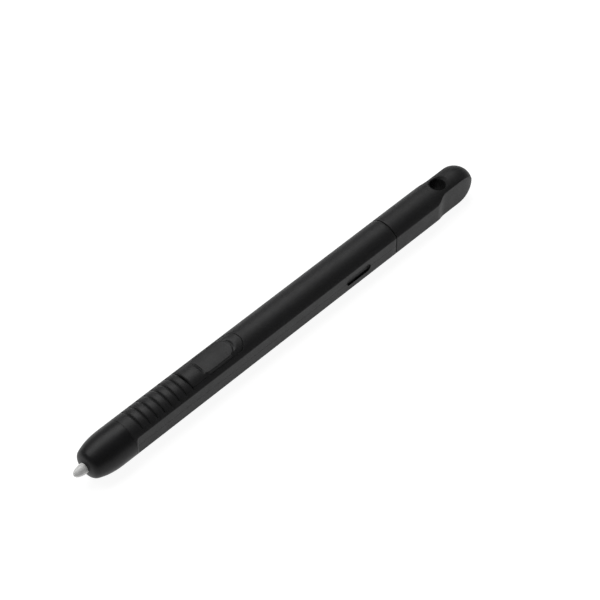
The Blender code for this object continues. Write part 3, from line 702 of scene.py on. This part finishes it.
def top_height(x, y):
    """Height of the button's top: the barrel's crown, a moat, and the flat thumb pad inside it."""
    past_groove = np.clip((x - button_low.x) / (0.5 * GROOVE_PITCH), 0, 1)
    crowned = crown(y, 0) - GROOVE_DEPTH * (1 - past_groove) ** RIB_ROUNDNESS
    rear = PAD_X + PAD_LENGTH - PAD_HALF_WIDTH
    across = np.sqrt(np.maximum(x - rear, 0) ** 2 + y * y)
    inside = smooth_min(PAD_HALF_WIDTH - across, x - PAD_X, PAD_CORNER)
    lowering = np.maximum(crowned - (PAD_TOP - MOAT_DEPTH), 0)
    around = crowned - lowering * np.exp(-((np.maximum(-inside, 0) / MOAT_WIDTH) ** 2))
    pad = PAD_TOP - y * y / (2 * PAD_ARCH)
    rise = smooth_step(inside, -PAD_EDGE, PAD_EDGE)
    return around * (1 - rise) + pad * rise


def make_button():
    """Side button: a closed cap whose top carries the thumb pad, its rim rounded."""
    outline = button_outline(0.0)
    spine_low = button_low.x + BUTTON_SPINE_INSET
    spine_high = button_high.x - BUTTON_SPINE_INSET
    spine = np.stack([np.clip(outline[:, 0], spine_low, spine_high), outline[:, 1] * 0], axis=1)
    outline, spine = densify(outline, spine, OUTLINE_STEP)
    swing = np.linspace(1 / RIM_RINGS, 1, RIM_RINGS) * math.pi / 2
    shares = np.linspace(0, RIM_START, TOP_RINGS).tolist()
    shares += (RIM_START + (1 - RIM_START) * np.sin(swing)).tolist()
    rings = []
    for share in reversed(shares):
        flat = spine + (outline - spine) * share
        gap = np.linalg.norm(outline - flat, axis=1)
        height = top_height(flat[:, 0], flat[:, 1]) - edge_drop(gap, BUTTON_RIM)
        rings.append(np.stack([flat[:, 0], flat[:, 1], height + AXIS_Z], axis=1))
    floor = np.full(len(outline), button_low.z)
    rings.insert(0, np.stack([outline[:, 0], outline[:, 1], floor], axis=1))
    button = stack_of_rings("button_cap", rings)
    finish_piece(button, "button", "side_button", shell_plastic())


def densify(outline, spine, step):
    """More points along each long side of an outline, with its matching spine points."""
    outer, inner = [], []
    count = len(outline)
    for i in range(count):
        k = (i + 1) % count
        length = np.linalg.norm(outline[k] - outline[i])
        parts = max(1, int(round(length / step)))
        for j in range(parts):
            share = j / parts
            outer.append(outline[i] * (1 - share) + outline[k] * share)
            inner.append(spine[i] * (1 - share) + spine[k] * share)
    return np.array(outer), np.array(inner)


def make_nib():
    """Blunt rounded tip on the head that fills the nose's hole, and the shaft behind it."""
    tip = nib_low.x
    reach = NOSE_X - tip
    outline = []
    for share in np.linspace(0, 1, NIB_TIP_STEPS):
        left = 1 - share**2
        outline.append((tip + reach * (1 - left), NIB_HEAD_R * math.sqrt(1 - left**NIB_BLUNTNESS)))
    shoulder = NOSE_X + NIB_HEAD_LENGTH
    outline += filleted(
        [
            (*outline[-1], 0),
            (shoulder, NIB_HEAD_R, NIB_EDGE),
            (shoulder, NIB_SHAFT_R, 0),
            (nib_high.x, NIB_SHAFT_R, NIB_EDGE),
            (nib_high.x, 0, 0),
        ]
    )[1:]
    nib = turned("nib_point", outline, (0, AXIS_Z), "X", NIB_STEPS)
    finish_piece(nib, "nib", "nib", nib_plastic())


# ---------------------------------------------------------------- materials


def new_material(name, colour, roughness, metallic=0.0):
    """A node material with its node tree and its shader."""
    material = bpy.data.materials.new(name)
    material.use_nodes = True
    shader = material.node_tree.nodes["Principled BSDF"]
    shader.inputs["Base Color"].default_value = (*colour, 1)
    shader.inputs["Roughness"].default_value = roughness
    shader.inputs["Metallic"].default_value = metallic
    return material, material.node_tree, shader


def noise(tree, scale, detail=3.0, rough=0.5):
    """Noise over the piece's own coordinates."""
    node = tree.nodes.new("ShaderNodeTexNoise")
    place = tree.nodes.new("ShaderNodeTexCoord")
    tree.links.new(place.outputs["Object"], node.inputs["Vector"])
    node.inputs["Scale"].default_value = scale
    node.inputs["Detail"].default_value = detail
    node.inputs["Roughness"].default_value = rough
    return node.outputs["Fac"]


def ramp(tree, source, limits, start, end):
    """Maps a noise value between its limits onto start..end."""
    node = tree.nodes.new("ShaderNodeMapRange")
    tree.links.new(source, node.inputs["Value"])
    node.inputs["From Min"].default_value = limits[0]
    node.inputs["From Max"].default_value = limits[1]
    node.inputs["To Min"].default_value = start
    node.inputs["To Max"].default_value = end
    return node.outputs["Result"]


def mix_colour(tree, source, limits, first, second):
    """A colour that goes from first to second as a noise value goes between its limits."""
    factor = ramp(tree, source, limits, 0, 1)
    node = tree.nodes.new("ShaderNodeMix")
    node.data_type = "RGBA"
    tree.links.new(factor, node.inputs["Factor"])
    node.inputs[6].default_value = (*first, 1)
    node.inputs[7].default_value = (*second, 1)
    return node.outputs[2]


def bump(tree, shader, source, depth, strength):
    """Raises the shader's surface by a noise value."""
    node = tree.nodes.new("ShaderNodeBump")
    tree.links.new(source, node.inputs["Height"])
    node.inputs["Distance"].default_value = depth
    node.inputs["Strength"].default_value = strength
    tree.links.new(node.outputs["Normal"], shader.inputs["Normal"])


def grained_plastic(name, dark, light, smooth, rough, gloss, grain, depth):
    """Moulded plastic: fine spark texture, with slightly uneven colour and sheen."""
    material, tree, shader = new_material(name, dark, smooth)
    speckle = noise(tree, grain, detail=2.0, rough=0.6)
    cloud = noise(tree, SHEEN_GRAIN, detail=4.0, rough=0.6)
    tone = mix_colour(tree, speckle, SPECKLE_RANGE, dark, light)
    tree.links.new(tone, shader.inputs["Base Color"])
    tree.links.new(ramp(tree, cloud, CLOUD_RANGE, smooth, rough), shader.inputs["Roughness"])
    shader.inputs["Specular IOR Level"].default_value = gloss
    bump(tree, shader, speckle, depth, strength=1.0)
    return material


def shell_plastic():
    return grained_plastic("shell_plastic", **SHELL_LOOK)


def nose_plastic():
    return grained_plastic("nose_plastic", **NOSE_LOOK)


def cap_plastic():
    return grained_plastic("cap_plastic", **CAP_LOOK)


def nib_plastic():
    """Light grey plastic that lets a little light into itself."""
    material, tree, shader = new_material("nib_plastic", NIB_COLOUR, NIB_ROUGHNESS)
    cloud = noise(tree, NIB_GRAIN)
    tone = mix_colour(tree, cloud, CLOUD_RANGE, NIB_DARK, NIB_LIGHT)
    tree.links.new(tone, shader.inputs["Base Color"])
    shader.inputs["Subsurface Weight"].default_value = NIB_GLOW
    shader.inputs["Subsurface Radius"].default_value = (1.0, 1.0, 1.0)
    shader.inputs["Subsurface Scale"].default_value = NIB_GLOW_DEPTH
    bump(tree, shader, cloud, NIB_BUMP, strength=0.5)
    return material


def plain_grained(name, colour, roughness, metallic, grain, depth):
    """Material of an inner piece: its colour a little uneven, its face a little rough."""
    material, tree, shader = new_material(name, colour, roughness, metallic)
    cloud = noise(tree, grain, rough=0.6)
    lighter = tuple(min(1.0, c * INNER_LIGHTER) for c in colour)
    tone = mix_colour(tree, cloud, CLOUD_RANGE, colour, lighter)
    tree.links.new(tone, shader.inputs["Base Color"])
    bump(tree, shader, cloud, depth, strength=0.6)
    return material


def dress_inner_nodes():
    """Every CAD node that stays gets a material made from its slot in the record."""
    colours = {m["slot"]: m["base_color"][:3] for m in frame["record"]["materials"]}
    slots = {s["node"]: s["material_slot"] for s in frame["record"]["subparts"]}
    made = {}
    for name, node in frame["nodes"].items():
        slot = slots[name]
        if slot not in INNER_LOOKS:
            continue
        if slot not in made:
            roughness, metallic, grain, depth = INNER_LOOKS[slot]
            made[slot] = plain_grained(slot, colours[slot], roughness, metallic, grain, depth * MM)
        node.data.materials.clear()
        node.data.materials.append(made[slot])


def finish_piece(piece, body, node, material):
    """Puts a piece in its node's place, on its body, in its material."""
    piece.data.materials.clear()
    piece.data.materials.append(material)
    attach(piece, body)
    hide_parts(node)


# ---------------------------------------------------------------- stage


def make_floor():
    """White paper just below the pen, so that the two faces never share a plane."""
    corners = [(-1, -1), (1, -1), (1, 1), (-1, 1)]
    points = [(a * FLOOR_HALF, b * FLOOR_HALF, -FLOOR_DROP) for a, b in corners]
    mesh = bpy.data.meshes.new("floor")
    mesh.from_pydata(points, [], [(0, 1, 2, 3)])
    floor = bpy.data.objects.new("floor", mesh)
    bpy.context.scene.collection.objects.link(floor)
    material, _, shader = new_material("floor_paper", FLOOR_COLOUR, FLOOR_ROUGHNESS)
    shader.inputs["Emission Color"].default_value = (1, 1, 1, 1)
    shader.inputs["Emission Strength"].default_value = FLOOR_GLOW
    mesh.materials.append(material)


def soft_light(name, place, size, power, aim):
    """A rectangular area light that faces aim."""
    data = bpy.data.lights.new(name, "AREA")
    data.shape = "RECTANGLE"
    data.size, data.size_y = size
    data.energy = power
    light = bpy.data.objects.new(name, data)
    bpy.context.scene.collection.objects.link(light)
    light.location = place
    light.rotation_euler = (Vector(aim) - Vector(place)).to_track_quat("-Z", "Y").to_euler()


def make_lights():
    """A dim room, one broad softbox above and behind the pen, and a weaker one off its nib end."""
    world = bpy.data.worlds.new("studio")
    world.use_nodes = True
    background = world.node_tree.nodes["Background"]
    background.inputs["Color"].default_value = (1, 1, 1, 1)
    background.inputs["Strength"].default_value = ROOM_GLOW
    bpy.context.scene.world = world
    centre = (0, 0, AXIS_Z)
    soft_light("top_softbox", TOP_LIGHT_PLACE, TOP_LIGHT_SIZE, TOP_LIGHT_POWER, centre)
    soft_light("nib_side_light", NIB_LIGHT_PLACE, NIB_LIGHT_SIZE, NIB_LIGHT_POWER, centre)
    bpy.context.scene.view_settings.view_transform = "Standard"


def make_camera():
    """A long lens from above the nib end, towards the side flat."""
    level = math.cos(VIEW_ELEVATION)
    across = math.sin(VIEW_AZIMUTH) * level
    along = -math.cos(VIEW_AZIMUTH) * level
    away = Vector((across, along, math.sin(VIEW_ELEVATION)))
    right = (-away).cross(Vector((0, 0, 1))).normalized()
    up = right.cross(-away)
    aim = Vector((VIEW_CENTRE_X, 0, AXIS_Z)) + right * VIEW_RIGHT + up * VIEW_UP
    data = bpy.data.cameras.new("camera")
    data.sensor_width = SENSOR_WIDTH
    data.lens = LENS
    data.clip_start = CLIP_START
    data.clip_end = CLIP_END
    camera = bpy.data.objects.new("camera", data)
    bpy.context.scene.collection.objects.link(camera)
    camera.location = aim + away * VIEW_DISTANCE
    camera.rotation_euler = (-away).to_track_quat("-Z", "Y").to_euler()
    bpy.context.scene.camera = camera


make_camera()
make_lights()
make_floor()
make_barrel()
make_nose()
make_cap()
make_button()
make_nib()
dress_inner_nodes()
